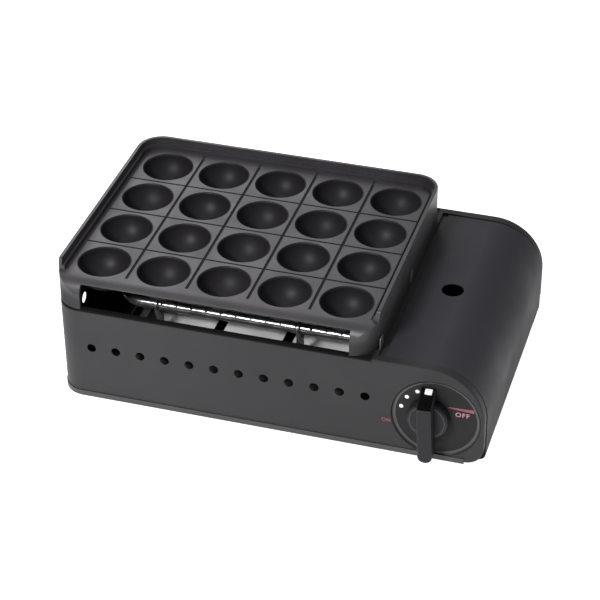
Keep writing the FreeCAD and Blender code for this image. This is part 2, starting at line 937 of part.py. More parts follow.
def burner_tube():
    """U-shaped tube burner with a row of flame ports along the outside of each leg."""
    body = new_body("burner_tube")
    width = burner_right_x - burner_left_x
    leg_gap = burner_rear_y - burner_front_y
    route = [(width, 0), (0, 0, burner_bend_r), (0, leg_gap, burner_bend_r), (width, leg_gap)]
    pipe_run(body, "XY", 0, route, burner_d, burner_bore, "YZ")
    first = burner_bend_r + port_end_gap
    port_pitch = (width - port_end_gap - first) / (port_count - 1)
    for y, tilt in ((as_size(0), 90 - port_tilt), (leg_gap, port_tilt - 90)):
        volume = body.Shape.Volume
        ports = new_sketch(body, "XY", 0)
        bind(ports, "AttachmentOffset.Base.y", y)
        ports.AttachmentOffset = FreeCAD.Placement(V(0, y.value, 0), FreeCAD.Rotation(V(1, 0, 0), 45))
        bind(ports, "AttachmentOffset.Rotation.Angle", tilt)
        for i in range(int(port_count.value)):
            circle(ports, first + port_pitch * i, 0, port_d)
        cut = body.newObject("PartDesign::Pocket", "burner_ports")
        cut.Profile = ports
        cut.Reversed = True
        bind(cut, "Length", burner_d)
        ports.Visibility = False
        doc.recompute()
        check_less(body, volume)
    put(body, burner_left_x, burner_front_y, burner_height)
    keep(body)


def mixing_tube():
    """Venturi that fits inside the front leg and opens towards the gas jet."""
    outer_r = burner_bore / 2 - slip_gap
    inner_r = outer_r - mixing_wall
    mouth_r = mouth_d / 2
    neck = mixing_neck
    profile = [(inner_r, -mixing_insert), (outer_r, -mixing_insert), (outer_r, neck),
               (mouth_r, neck + mouth_length - 2), (mouth_r, neck + mouth_length),
               (mouth_r - mixing_wall, neck + mouth_length),
               (mouth_r - mixing_wall, neck + mouth_length - 2), (inner_r, neck)]
    keep(turned("mixing_tube", "X", profile, (burner_right_x, burner_front_y, burner_height)))


def burner_end_plug():
    """Pressed plug that closes the rear leg."""
    bore_r = burner_bore / 2
    head = burner_d / 2
    profile = [(0, -6), (bore_r, -6), (bore_r, 0), (head, 0), (head, 1), (0, 1)]
    keep(turned("burner_end_plug", "X", profile, (burner_right_x, burner_rear_y, burner_height)))


def burner_brackets():
    """Four upright clips that carry the burner above the heat shield."""
    clips = []
    places = (("left", burner_left_x + clip_left_inset), ("right", burner_right_x - clip_right_inset))
    for side, x in places:
        for name, y in (("front", burner_front_y), ("rear", burner_rear_y)):
            clip = new_body(f"burner_clip_{name}_{side}")
            half = bracket_width / 2
            top = burner_height + burner_d / 2 + bracket_steel * 2
            plate = [(y - half, tray_height), (y + half, tray_height), (y + half, top, half / 2),
                     (y - half, top, half / 2)]
            pad(clip, "YZ", x, x + bracket_steel, plate)
            foot = rectangle(x, y - half, x + bracket_width / 2, y + half)
            pad(clip, "XY", tray_height, tray_height + bracket_steel, foot)
            drill(clip, "YZ", x - 1, x + bracket_steel + 1, [(y, burner_height, burner_d)])
            clips.append(clip)
    group("burner_brackets", clips)


def heat_shield_tray():
    """Bright shield under the burner, standing on the pan by its folded ends."""
    body = new_body("heat_shield_tray")
    low = pan_floor
    under = tray_height - tray_steel
    bend = tray_steel * 2
    section = [(tray_front - tray_foot, low), (tray_front + tray_steel, low),
               (tray_front + tray_steel, under, bend - tray_steel),
               (tray_rear - tray_steel, under, bend - tray_steel),
               (tray_rear - tray_steel, low), (tray_rear + tray_foot, low),
               (tray_rear + tray_foot, low + tray_steel), (tray_rear, low + tray_steel),
               (tray_rear, tray_height, bend), (tray_front, tray_height, bend),
               (tray_front, low + tray_steel), (tray_front - tray_foot, low + tray_steel)]
    pad(body, "YZ", tray_left, tray_right, section)
    for x in (tray_left, tray_right - tray_steel):
        wall = rectangle(tray_front + bend, under, tray_rear - bend, tray_height + tray_wall)
        pad(body, "YZ", x, x + tray_steel, wall)
    first = tray_left + slot_side_gap
    slot_pitch = (tray_right - slot_side_gap - first) / (slot_count - 1)
    for i in range(int(slot_count.value)):
        x = first + slot_pitch * i
        slot = rectangle(x - slot_width / 2, tray_front + slot_end_gap,
                         x + slot_width / 2, tray_rear - slot_end_gap, slot_width / 2 - 0.1)
        pocket(body, "XY", under - 1, tray_height + 1, slot)
    keep(body)


# ---------------------------------------------------------------- gas parts

def valve_bracket():
    """Steel plate behind the dial that carries the valve, with a foot on the pan."""
    body = new_body("valve_bracket")
    half = valve_plate_width / 2
    left = valve_x - half
    right = valve_x + half
    top = valve_top + 4
    heel = bracket_front + valve_plate_foot
    section = [(bracket_front, pan_floor), (heel, pan_floor), (heel, pan_floor + valve_plate),
               (valve_front, pan_floor + valve_plate), (valve_front, top), (bracket_front, top)]
    pad(body, "YZ", left, right, section)
    round_edges(body, as_size(8), lambda e: bracket_corner(e, top))
    drill(body, "XZ", bracket_front - 1, valve_front + 1, [(valve_x, valve_height, spindle_hole)])
    keep(body)


def bracket_corner(edge, top):
    along_y = abs(edge.tangentAt(edge.FirstParameter).y) > 0.999
    return along_y and flat_top(edge, top)


def valve_body():
    """Die-cast valve with the spindle bore in front and the gas outlet at the left."""
    body = new_body("valve_body")
    block = rectangle(valve_left, valve_height - valve_body_low,
                      valve_left + valve_body_width, valve_top, 3)
    pad(body, "XZ", valve_front, governor_front, block)
    bore = spindle_d + slip_gap * 2
    drill(body, "XZ", valve_front - 1, valve_front + spindle_d, [(valve_x, valve_height, bore)])
    keep(body)


def governor():
    """Pressure governor: housing, cap and the magnet ring that holds the cartridge."""
    axis = (valve_x, 0, valve_height)
    step = governor_depth / 2
    housing = [(0, governor_front), (governor_d / 2 - 2, governor_front),
               (governor_d / 2 - 2, governor_front + step), (governor_d / 2, governor_front + step),
               (governor_d / 2, governor_rear), (0, governor_rear)]
    keep(turned("governor_housing", "Y", housing, axis))
    keep(ring("governor_cap", "Y", governor_d - 2, spindle_hole, governor_rear, magnet_front, axis))
    keep(ring("magnet_ring", "Y", magnet_d, magnet_bore, magnet_front, magnet_rear, axis))


def gas_feed_pipe():
    """Pipe from the valve, along the bay side of the partition, to the jet."""
    body = new_body("gas_feed_pipe")
    route = [(valve_left, pipe_y), (pipe_x, pipe_y, pipe_bend_r),
             (pipe_x, burner_front_y, pipe_bend_r), (jet_rear, burner_front_y)]
    pipe_run(body, "XY", burner_height, route, pipe_d, pipe_bore, "YZ")
    keep(body)


def gas_jet():
    """Brass jet through the partition, with its nut on the bay side."""
    reach = -(sheet_steel + hinge_leaf + jet_reach)
    bore_r = jet_bore / 2
    body_r = jet_d / 2
    profile = [(bore_r, reach), (body_r / 2, reach), (body_r, reach + 2), (body_r, 0),
               (body_r + 1.5, 0), (body_r + 1.5, hinge_leaf), (bore_r, hinge_leaf)]
    keep(turned("gas_jet", "X", profile, (strip_right, burner_front_y, burner_height)))


def jet_bracket():
    """Stiffening plate on the partition round the jet."""
    body = new_body("jet_bracket")
    half = jet_plate / 2
    plate = rectangle(burner_front_y - half, burner_height - half,
                      burner_front_y + half, burner_height + half, 3)
    pad(body, "YZ", wall_left - hinge_leaf, wall_left, plate)
    drill(body, "YZ", wall_left - hinge_leaf - 1, wall_left + 1,
          [(burner_front_y, burner_height, jet_d)])
    keep(body)


def igniter_body():
    """Sealed piezo igniter on the left side of the valve."""
    body = new_body("igniter_body")
    box = rectangle(valve_left - igniter_length, valve_front, valve_left,
                    valve_front + igniter_width)
    pad(body, "XY", lead_z - igniter_height / 2, lead_z + igniter_height / 2, box)
    keep(body)


def igniter_lead():
    """Insulated lead from the igniter, through the partition, to the electrode."""
    body = new_body("igniter_lead")
    start_y = valve_front + igniter_width / 2
    side_x = strip_right + lead_side_gap
    route = [(valve_left - igniter_length, start_y), (side_x, start_y, lead_bend_r),
             (side_x, electrode_y, lead_bend_r), (electrode_x + electrode_d / 2, electrode_y)]
    pipe_run(body, "XY", lead_z, route, lead_d, None, "YZ")
    keep(body)


def electrode_bracket():
    """Folded bracket on the shield, beside the front leg of the burner."""
    bracket = new_body("electrode_bracket")
    half = insulator_d
    left = electrode_x - half
    right = electrode_x + half
    high = insulator_seat + bracket_steel
    section = [(left, tray_height), (right, tray_height), (right, tray_height + bracket_steel),
               (left + bracket_steel, tray_height + bracket_steel),
               (left + bracket_steel, insulator_seat), (right, insulator_seat), (right, high),
               (left, high)]
    pad(bracket, "XZ", electrode_y - half, electrode_y + half, section)
    drill(bracket, "XY", insulator_seat - 1, high + 1, [(electrode_x, electrode_y, insulator_d)])
    keep(bracket)


def electrode_insulator():
    """Ceramic sleeve with a collar that rests on the bracket."""
    top = burner_height - 4
    sleeve_r = insulator_d / 2
    core_r = electrode_d / 2
    collar = sleeve_r + 1
    seat = insulator_seat + bracket_steel
    profile = [(core_r, insulator_seat - 2), (sleeve_r, insulator_seat - 2), (sleeve_r, seat),
               (collar, seat), (collar, seat + 2), (sleeve_r, seat + 4), (sleeve_r, top),
               (core_r, top)]
    keep(turned("electrode_insulator", "Z", profile, (electrode_x, electrode_y, 0)))


def spark_electrode():
    """Wire through the insulator that bends over towards the burner."""
    rod = new_body("spark_electrode")
    low = insulator_seat - 6
    high = burner_height + 4
    tip_y = burner_front_y + burner_d / 2 + 4
    route = [(electrode_y, low), (electrode_y, high, 2), (tip_y, high)]
    path = new_sketch(rod, "YZ", electrode_x)
    outline(path, route, closed=False)
    section = new_sketch(rod, "XY", low)
    circle(section, electrode_x, electrode_y, electrode_d)
    sweep = rod.newObject("PartDesign::AdditivePipe", "electrode_sweep")
    sweep.Profile = section
    sweep.Spine = (path, ["Edge1", "Edge2", "Edge3"])
    rod.Tip = sweep
    doc.recompute()
    keep(rod)


# ---------------------------------------------------------------- knob

def valve_spindle():
    """Spindle with a flat that keys the knob."""
    body = new_body("valve_spindle")
    start = knob_front + 4
    end = valve_front + spindle_d - running_gap
    boss(body, "XZ", start, end, 0, 0, spindle_d)
    flat = spindle_d / 2 - spindle_flat
    side = rectangle(-spindle_d, flat, spindle_d, flat + spindle_d)
    pocket(body, "XZ", start - 1, dial_floor - knob_standoff, side)
    put_on_valve(body)
    keep(body)


def put_on_valve(body):
    """Place a body on the valve's axis, turned to the knob's resting angle."""
    turn = FreeCAD.Rotation(V(0, -1, 0), knob_tilt.value)
    body.Placement = FreeCAD.Placement(V(0, 0, 0), turn)
    bind(body, "Placement.Rotation.Angle", knob_tilt)
    put(body, valve_x, 0, valve_height)


def knob():
    """Bevelled disc with a grip bar whose upper end slopes back into a pointer."""
    body = new_body("knob")
    rear = dial_floor - knob_standoff
    disc_front = rear - knob_disc_depth
    boss(body, "XZ", disc_front, rear, 0, 0, knob_disc_d)
    round_edges(body, knob_bevel, lambda e: on_front(e, disc_front))
    half = grip_width / 2
    grip = [(-half, -grip_down, grip_round), (half, -grip_down, grip_round), (half, 0), (-half, 0)]
    pad(body, "XZ", knob_front, disc_front + knob_bevel, grip)
    pointer = [(knob_front, 0), (knob_front, grip_up), (rear - pointer_edge, pointer_up),
               (rear, pointer_up), (rear, 0)]
    pad(body, "YZ", -half, half, pointer)
    round_edges(body, grip_edge_r, lambda e: on_front(e, knob_front))
    bore = spindle_d + slip_gap * 2
    bore_front = knob_front + 4 - slip_gap
    drill(body, "XZ", bore_front, rear + 1, [(0, 0, bore)])
    flat = bore / 2 - spindle_flat
    pad(body, "XZ", bore_front, rear, rectangle(-bore / 2, flat, bore / 2, bore / 2 + 1))
    put_on_valve(body)
    keep(body)


def on_front(edge, y):
    """True for an edge that lies in the upright plane at y."""
    return all(abs(v.Y - y.value) < 1e-3 for v in edge.Vertexes)


# ---------------------------------------------------------------- cover and hinge

def cartridge_cover():
    """Curved cover of the cartridge bay with a finger hole in its top."""
    body = new_body("cartridge_cover")
    t = cover_steel
    lip_x = right_x - cover_foot_r - cover_lip
    section = [(cover_left, cover_top - t), (right_x - t, cover_top - t, cover_r - t),
               (right_x - t, cover_lift + t, cover_foot_r - t), (lip_x, cover_lift + t),
               (lip_x, cover_lift), (right_x, cover_lift, cover_foot_r),
               (right_x, cover_top, cover_r), (cover_left, cover_top)]
    pad(body, "XZ", cover_front, cover_rear, section)
    middle = (cover_front + cover_rear) / 2
    drill(body, "XY", cover_top - t - 1, cover_top + 1,
          [(cover_left + finger_hole_inset, middle - finger_hole_shift, finger_hole_d)])
    for y in (hinge_front_y, hinge_rear_y):
        half = hinge_leaf_width / 2 + running_gap
        notch = rectangle(lip_x - 1, y - half, right_x + 1, y + half)
        pocket(body, "XY", cover_lift - 1, hinge_height + running_gap * 2, notch)
    keep(body)


def hinge_parts():
    """Leaves on the pan, straps on the cover and the pins that join them."""
    groups = {"cover_hinge_leaves": [], "cover_hinge_straps": [], "cover_hinge_pins": []}
    for name, y in (("front", hinge_front_y), ("rear", hinge_rear_y)):
        groups["cover_hinge_leaves"].append(hinge_leaf_piece(name, y))
        groups["cover_hinge_straps"].append(hinge_strap_piece(name, y))
        groups["cover_hinge_pins"].append(hinge_pin_piece(name, y))
    for label, members in groups.items():
        group(label, members)


def hinge_leaf_piece(name, y):
    """Stepped leaf: foot on the pan, arm out to the knuckle."""
    leaf = new_body(f"hinge_leaf_{name}")
    half = hinge_leaf_width / 2
    low = hinge_height - hinge_r
    riser = hinge_x - hinge_arm
    start = riser - hinge_leaf_foot
    section = [(start, pan_floor), (riser, pan_floor), (riser, low), (hinge_x, low),
               (hinge_x, low + hinge_leaf), (riser - hinge_leaf, low + hinge_leaf),
               (riser - hinge_leaf, pan_floor + hinge_leaf), (start, pan_floor + hinge_leaf)]
    pad(leaf, "XZ", y - half, y + half, section)
    boss(leaf, "XZ", y - half, y + half, hinge_x, hinge_height, hinge_r * 2)
    drill(leaf, "XZ", y - half - 1, y + half + 1, [(hinge_x, hinge_height, pin_hole())])
    return leaf


def pin_hole():
    return hinge_pin_d + slip_gap * 2


def hinge_strap_piece(name, y):
    """Strap inside the cover with a knuckle each side of the leaf's."""
    strap = new_body(f"hinge_strap_{name}")
    half = hinge_strap_width / 2
    wall = right_x - cover_steel
    low = cover_lift + cover_foot_r
    blade = rectangle(wall - hinge_leaf, low, wall, low + hinge_strap_height)
    pad(strap, "XZ", y - half, y + half, blade)
    boss(strap, "XZ", y - half, y + half, hinge_x, hinge_height, hinge_r * 2)
    drill(strap, "XZ", y - half - 1, y + half + 1, [(hinge_x, hinge_height, pin_hole())])
    gap = hinge_leaf_width / 2 + running_gap
    notch = rectangle(hinge_x - hinge_r - 1, y - gap, wall + 1, y + gap)
    pocket(strap, "XY", hinge_height - hinge_r - 1, hinge_height + hinge_r + running_gap, notch)
    return strap


def hinge_pin_piece(name, y):
    pin = new_body(f"hinge_pin_{name}")
    half = hinge_strap_width / 2
    boss(pin, "XZ", y - half, y + half, hinge_x, hinge_height, hinge_pin_d)
    return pin


def cartridge_cradle():
    """Folded saddle that the cartridge lies in."""
    body = new_body("cartridge_cradle")
    flat = cradle_flat / 2
    half = cradle_width / 2
    rest_r = cartridge_d / 2 + cradle_gap
    tip = valve_height - root(rest_r * rest_r - half * half)
    base = pan_floor + sheet_steel
    section = [(valve_x - half, tip - sheet_steel), (valve_x - flat, pan_floor),
               (valve_x + flat, pan_floor), (valve_x + half, tip - sheet_steel),
               (valve_x + half, tip), (valve_x + flat, base), (valve_x - flat, base),
               (valve_x - half, tip)]
    pad(body, "XZ", magnet_rear + cradle_end_gap, cover_rear - cradle_end_gap, section)
    keep(body)


def heat_panel():
    """Aluminium panel that takes a little burner heat to the cartridge."""
    body = new_body("heat_panel")
    t = panel_thickness
    section = [(wall_left - t, valve_height - panel_height / 2), (wall_left, valve_height - panel_height / 2),
               (wall_left, valve_height), (valve_x - cartridge_d / 2, valve_height),
               (valve_x - cartridge_d / 2, valve_height + t), (wall_left, valve_height + t),
               (wall_left, valve_height + panel_height / 2),
               (wall_left - t, valve_height + panel_height / 2)]
    half = panel_width / 2
    pad(body, "XZ", cup_centre_y - half, cup_centre_y + half, section)
    keep(body)


# ---------------------------------------------------------------- build, check and export

def build():
    base_pan()
    rubber_feet()
    body_shell()
    partition_wall()
    plate_tabs()
    takoyaki_plate()
    burner_tube()
    mixing_tube()
    burner_end_plug()
    burner_brackets()
    heat_shield_tray()
    valve_bracket()
    valve_body()
    governor()
    gas_feed_pipe()
    gas_jet()
    jet_bracket()
    igniter_body()
    igniter_lead()
    electrode_bracket()
    electrode_insulator()
    spark_electrode()
    valve_spindle()
    knob()
    cartridge_cover()
    hinge_parts()
    cartridge_cradle()
    heat_panel()


def check_and_export():
    doc.recompute()
    for obj in doc.Objects:
        if "Invalid" in obj.State or "Error" in obj.State:
            raise RuntimeError(f"{obj.Label} did not compute")
    os.makedirs("parts", exist_ok=True)
    for label, obj in nodes.items():
        shape = obj.Shape
        if shape.isNull() or not shape.isValid():
            raise RuntimeError(f"{label} has no valid shape")
        shape.exportStep(f"parts/{label}.step")


build()
check_and_export()
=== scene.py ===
"""Looks of the takoyaki maker: materials, fine pieces, camera and studio, in metres."""
import math

import bmesh
import bpy
from mathutils import Matrix, Quaternion, Vector


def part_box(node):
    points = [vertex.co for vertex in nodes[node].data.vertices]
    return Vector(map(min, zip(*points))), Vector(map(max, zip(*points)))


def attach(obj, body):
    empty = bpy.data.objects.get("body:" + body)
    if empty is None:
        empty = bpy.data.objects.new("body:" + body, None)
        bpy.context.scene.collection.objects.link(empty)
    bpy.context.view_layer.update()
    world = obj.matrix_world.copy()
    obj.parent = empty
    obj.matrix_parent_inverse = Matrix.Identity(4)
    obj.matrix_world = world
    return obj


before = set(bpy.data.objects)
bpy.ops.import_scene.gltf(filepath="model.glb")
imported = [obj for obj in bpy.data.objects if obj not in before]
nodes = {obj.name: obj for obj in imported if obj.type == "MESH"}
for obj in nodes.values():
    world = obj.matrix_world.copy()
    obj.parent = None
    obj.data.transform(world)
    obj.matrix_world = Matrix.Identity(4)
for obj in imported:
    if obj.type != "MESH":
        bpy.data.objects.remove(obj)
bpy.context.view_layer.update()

# ---------------------------------------------------------------- sizes and places

PLATE_LOW, PLATE_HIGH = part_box("takoyaki_plate")
SHELL_LOW, SHELL_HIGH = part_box("body_shell")
KNOB_LOW, KNOB_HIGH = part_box("knob")
BURNER_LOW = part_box("burner_tube")[0]
PAN_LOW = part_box("base_pan")[0]

PLATE_RIM = 0.0086
CUP_PITCH = 0.0475
CUP_RADIUS = 0.020
CUP_COLUMNS = 5
CUP_ROWS = 4
FRONT_LAND = 0.03365  # from the plate's front to the middle of the first row
PLATE_SURFACE = PLATE_HIGH.z - PLATE_RIM
FIRST_CUP_X = (PLATE_LOW.x + PLATE_HIGH.x - CUP_PITCH * (CUP_COLUMNS - 1)) / 2
FIRST_CUP_Y = PLATE_LOW.y + FRONT_LAND
LINING_GAP = 0.00055
LINING_LIFT = 0.00005
LIP_RADIUS = 0.0011

SPINDLE_X = 0.125
SPINDLE_Z = 0.041
DIAL_X = 0.130
DIAL_Z = 0.0394
DIAL_RADIUS = 0.0335
DIAL_DEPTH = 0.002
SHELL_FRONT = SHELL_LOW.y
DIAL_FLOOR_Y = SHELL_FRONT + DIAL_DEPTH
ROUND_STEPS = 96

COVE_STEPS = 8
COVE_INNER_INSET = 0.0028
COVE_OUTER_INSET = 0.0002
COVE_TOP_GAP = 0.0003
COVE_LIFT = 0.00004
HOLE_FOOT = 0.0045
HOLE_RADIUS = 0.0050
FACE_INSET = 0.0030
FACE_FOOT_INSET = 0.0027
FACE_LIFT = 0.00008
FACE_FOOT_LIFT = 0.00002

KNOB_TILT = math.radians(2.3)
KNOB_AIR = 0.0005
DISC_DEPTH = 0.008
DISC_RADIUS = 0.0155
DISC_BEVEL = 0.0022
RIM_LIFT = 0.00008
GRIP_UP = 0.016
POINTER_UP = 0.025
POINTER_EDGE = 0.001
INLAY_FOOT = 0.00001
INLAY_BEVEL_WIDTH = 0.00015
INLAY_BEVEL_DEPTH = 0.00005

DECAL_LIFT = 0.00018
DOT_ANGLES = (169.5, 142.7, 115.9)
DOT_CIRCLE = 0.0218
DOT_RADIUS = 0.0016
ON_X, ON_Z, ON_HEIGHT = 0.0928, 0.0312, 0.0030
OFF_X, OFF_Z, OFF_HEIGHT = 0.1495, 0.0457, 0.0040
BAR_X, BAR_Z = 0.1485, 0.0508
BAR_OUTLINE = ((-0.0095, -0.0002), (0.0095, -0.0016), (0.0095, 0.0013), (-0.0095, 0.0006))
LETTER_SPACING = 1.18
LETTER_WEIGHT = 0.03
CAPITAL_SHARE = 0.73  # of a font's size

SCREW_STEPS = 32
SCREW_SINK = 0.00002
CROSS_ARM = 0.50  # as shares of the screw's radius
CROSS_HALF_WIDTH = 0.15
# Reach as a share of the radius, and level as a share of the height. No reach is the cross.
SCREW_PROFILE = ((1.0, 0.0), (1.0, 0.35), (0.90, 0.75), (0.72, 1.0), (0.0, 1.0), (0.0, 0.25))
BODY_SCREW = (0.0027, 0.00050)  # radius and height, here and in the next three
PAN_SCREW = (0.0030, 0.0012)
CAP_SCREW = (0.0012, 0.0008)
JET_SCREW = (0.0017, 0.0010)
BODY_SCREW_Z = 0.0128
BACK_SCREWS_X = (-0.128, -0.020, 0.088)
END_SCREWS_Y = (-0.060, 0.075)
PAN_SCREWS_X = (-0.120, 0.090)
PAN_SCREWS_Y = (-0.055, 0.065)
CAP_SCREW_ANGLES = (45, 135, 225, 315)
CAP_SCREW_INSET = 0.0015
JET_SCREW_INSET = 0.0026

# ---------------------------------------------------------------- painted shade
# Each band is where a shade starts to rise, where it reaches one, and its darkest value.

COLUMN_GROOVE_SHADE = (0.0004, 0.0017, 0.12)
ROW_GROOVE_SHADE = (0.0004, 0.0015, 0.22)
RIM_ABOVE = 0.0002
SKIRT_BELOW = -0.0014
GROOVE_SHADE_FRONT = 0.017
GROOVE_SHADE_BACK = 0.012
GROOVE_SHADE_SIDE = 0.006
SKIRT_FOOT = (0.006, 0.020, 0.40)
SKIRT_LEFT = (0.004, 0.026, 0.60)
SKIRT_LEFT_UP = (0.010, 0.022, 0.0)
PLATE_RIGHT_SHADE = 0.72
TRAY_WALLS = (0.3, 0.7, 0.05)
TRAY_FRONT = (-0.060, -0.042, 0.10)
TRAY_LEFT = (-0.122, -0.092, 0.08)
SHELL_RIM = (0.0012, 0.0028, 0.12)
BESIDE_PLATE = (-0.004, 0.0, 0.0)
SHELL_RIGHT = (-0.060, 0.110, 0.80)  # counted to the left
TUBE_BEND = (0.006, 0.019, 0.08)
BRACKET_LEGS = (-0.004, 0.003, 0.10)
COVER_FOOT = (0.020, 0.072, 0.50)
DULL_START = 1.1

# ---------------------------------------------------------------- materials

WHITE = (1.0, 1.0, 1.0, 1.0)
NOISE_FROM, NOISE_TO = 0.3, 0.7
CLOUD_FROM, CLOUD_TO = 0.35, 0.65
GLOSS_SCALE = 2.3
GLOSS_LOW, GLOSS_HIGH = 0.88, 1.12
COAT_ROUGHNESS = 0.15


def grain(tree, scale, detail):
    """Noise that is fixed to the piece it colours."""
    place = tree.nodes.new("ShaderNodeTexCoord")
    noise = tree.nodes.new("ShaderNodeTexNoise")
    noise.inputs["Scale"].default_value = scale
    noise.inputs["Detail"].default_value = detail
    noise.inputs["Roughness"].default_value = 0.5
    tree.links.new(place.outputs["Object"], noise.inputs["Vector"])
    return noise.outputs["Fac"]


def stretch_grain(tree, noise, scales):
    """Draw the fine bump out along one direction, as rolling or brushing does."""
    mapping = tree.nodes.new("ShaderNodeMapping")
    mapping.inputs["Scale"].default_value = scales
    source = noise.inputs["Vector"].links[0].from_socket
    tree.links.new(source, mapping.inputs["Vector"])
    tree.links.new(mapping.outputs["Vector"], noise.inputs["Vector"])


def map_range(tree, value, start, end, low, high, kind="LINEAR"):
    """Map what lies between start and end to what lies between low and high."""
    step = tree.nodes.new("ShaderNodeMapRange")
    step.interpolation_type = kind
    step.inputs["From Min"].default_value = start
    step.inputs["From Max"].default_value = end
    step.inputs["To Min"].default_value = low
    step.inputs["To Max"].default_value = high
    tree.links.new(value, step.inputs["Value"])
    return step.outputs["Result"]


def finish(name, color, roughness, metallic=0.0, spread=0.15, cloud=18.0, bump_scale=900.0,
           bump_depth=0.00002, coat=0.0, specular=0.5, stretch=None, glow=0.0):
    """A surface with clouded colour, uneven gloss and a fine bump."""
    material = bpy.data.materials.new(name)
    material.use_nodes = True
    tree = material.node_tree
    shader = tree.nodes["Principled BSDF"]
    shader.inputs["Metallic"].default_value = metallic
    shader.inputs["Specular IOR Level"].default_value = specular
    shader.inputs["Coat Weight"].default_value = coat
    shader.inputs["Coat Roughness"].default_value = COAT_ROUGHNESS
    shader.inputs["Emission Color"].default_value = WHITE
    shader.inputs["Emission Strength"].default_value = glow
    clouds = grain(tree, cloud, 4.0)
    ramp = tree.nodes.new("ShaderNodeValToRGB")
    for element, factor in zip(ramp.color_ramp.elements, (1 - spread, 1 + spread)):
        element.color = [min(1.0, part * factor) for part in color] + [1.0]
    ramp.color_ramp.elements[0].position = CLOUD_FROM
    ramp.color_ramp.elements[1].position = CLOUD_TO
    tree.links.new(clouds, ramp.inputs["Fac"])
    tree.links.new(ramp.outputs["Color"], shader.inputs["Base Color"])
    uneven = map_range(tree, grain(tree, cloud * GLOSS_SCALE, 3.0), NOISE_FROM, NOISE_TO,
                       roughness * GLOSS_LOW, roughness * GLOSS_HIGH)
    tree.links.new(uneven, shader.inputs["Roughness"])
    bump = tree.nodes.new("ShaderNodeBump")
    bump.inputs["Strength"].default_value = 1.0
    bump.inputs["Distance"].default_value = bump_depth
    fine = grain(tree, bump_scale, 2.0)
    if stretch is not None:
        stretch_grain(tree, fine.node, stretch)
    tree.links.new(fine, bump.inputs["Height"])
    tree.links.new(bump.outputs["Normal"], shader.inputs["Normal"])
    return material


COATED_PLATE = finish("coated_plate", (0.036, 0.0325, 0.038), 0.46, spread=0.10,
                      bump_scale=1400.0, bump_depth=0.00003)
CUP_COAT = finish("cup_coat", (0.016, 0.0145, 0.017), 0.48, spread=0.12, specular=0.18,
                  bump_scale=1400.0, bump_depth=0.00003)
BLACK_ENAMEL = finish("black_enamel", (0.027, 0.026, 0.028), 0.58, spread=0.06, cloud=9.0,
                      specular=0.22, bump_scale=700.0, bump_depth=0.000012)
COVER_ENAMEL = finish("cover_enamel", (0.031, 0.030, 0.036), 0.60, spread=0.06, cloud=9.0,
                      specular=0.16, bump_scale=1100.0, bump_depth=0.00001)
DIAL_BLACK = finish("dial_black", (0.012, 0.012, 0.013), 0.55, spread=0.06, specular=0.15,
                    bump_scale=1100.0, bump_depth=0.000006)
PAN_ENAMEL = finish("pan_enamel", (0.036, 0.037, 0.037), 0.46, spread=0.08, specular=0.35,
                    bump_scale=700.0, bump_depth=0.000012)
ZINC = finish("zinc_plate", (0.46, 0.47, 0.48), 0.34, metallic=1.0, cloud=60.0, bump_scale=500.0)
TRAY_SHEET = finish("tray_sheet", (0.86, 0.86, 0.85), 0.45, metallic=0.25, cloud=40.0,
                    bump_scale=350.0, stretch=(1.0, 0.12, 1.0))
BRACKET_STEEL = finish("bracket_steel", (0.50, 0.50, 0.51), 0.28, metallic=0.9, cloud=70.0,
                       bump_scale=700.0)
ALUMINISED = finish("aluminised", (0.86, 0.86, 0.85), 0.45, metallic=0.25, cloud=40.0,
                    bump_scale=350.0, stretch=(1.0, 0.12, 1.0))
TUBE_STEEL = finish("tube_steel", (0.50, 0.50, 0.51), 0.24, metallic=0.9, cloud=50.0,
                    bump_scale=600.0, stretch=(0.1, 1.0, 1.0))
CAST_ZINC = finish("cast_zinc", (0.36, 0.36, 0.37), 0.45, metallic=1.0, bump_scale=900.0,
                   bump_depth=0.00005)
BRASS = finish("brass", (0.62, 0.44, 0.18), 0.28, metallic=1.0, bump_scale=900.0)
COPPER = finish("copper", (0.60, 0.31, 0.18), 0.30, metallic=1.0, bump_scale=500.0)
MAGNET = finish("magnet", (0.05, 0.05, 0.055), 0.6, bump_scale=1200.0, bump_depth=0.00005)
CERAMIC = finish("ceramic", (0.72, 0.70, 0.65), 0.22, spread=0.04, coat=0.4)
KNOB_PLASTIC = finish("knob_plastic", (0.009, 0.009, 0.011), 0.42, spread=0.05, specular=0.20,
                      bump_scale=2500.0, bump_depth=0.000012)
# Near black: partly the pointer's own black, partly painted shade on its slope.
POINTER_BLACK_AND_SHADE = finish("pointer_black_and_shade", (0.001, 0.001, 0.001), 0.45, spread=0.05, specular=0.05,
                       bump_scale=2500.0, bump_depth=0.000006)
KNOB_GLOSS = finish("knob_gloss", (0.014, 0.014, 0.015), 0.20, spread=0.05, bump_scale=2500.0,
                    bump_depth=0.000004)
SCREW_BLACK = finish("screw_black", (0.06, 0.06, 0.065), 0.34, metallic=0.7, cloud=80.0,
                     bump_scale=1500.0)
GLOSS_ENAMEL = finish("gloss_enamel", (0.030, 0.029, 0.031), 0.34, spread=0.05, bump_scale=700.0,
                      bump_depth=0.000008)
TAB_STEEL = finish("tab_steel", (0.10, 0.10, 0.11), 0.42, metallic=0.2, cloud=80.0,
                   bump_scale=700.0)
IGNITER_PLASTIC = finish("igniter_plastic", (0.04, 0.04, 0.045), 0.45, bump_scale=1800.0)
RUBBER = finish("rubber", (0.028, 0.028, 0.028), 0.75, bump_scale=1500.0, bump_depth=0.00004)
WHITE_PRINT = finish("white_print", (0.80, 0.80, 0.80), 0.45, spread=0.03, bump_scale=2000.0)
RED_PRINT = finish("red_print", (0.20, 0.040, 0.050), 0.45, spread=0.05, bump_scale=2000.0)
PALE_PRINT = finish("pale_print", (0.34, 0.17, 0.21), 0.45, spread=0.05, bump_scale=2000.0)


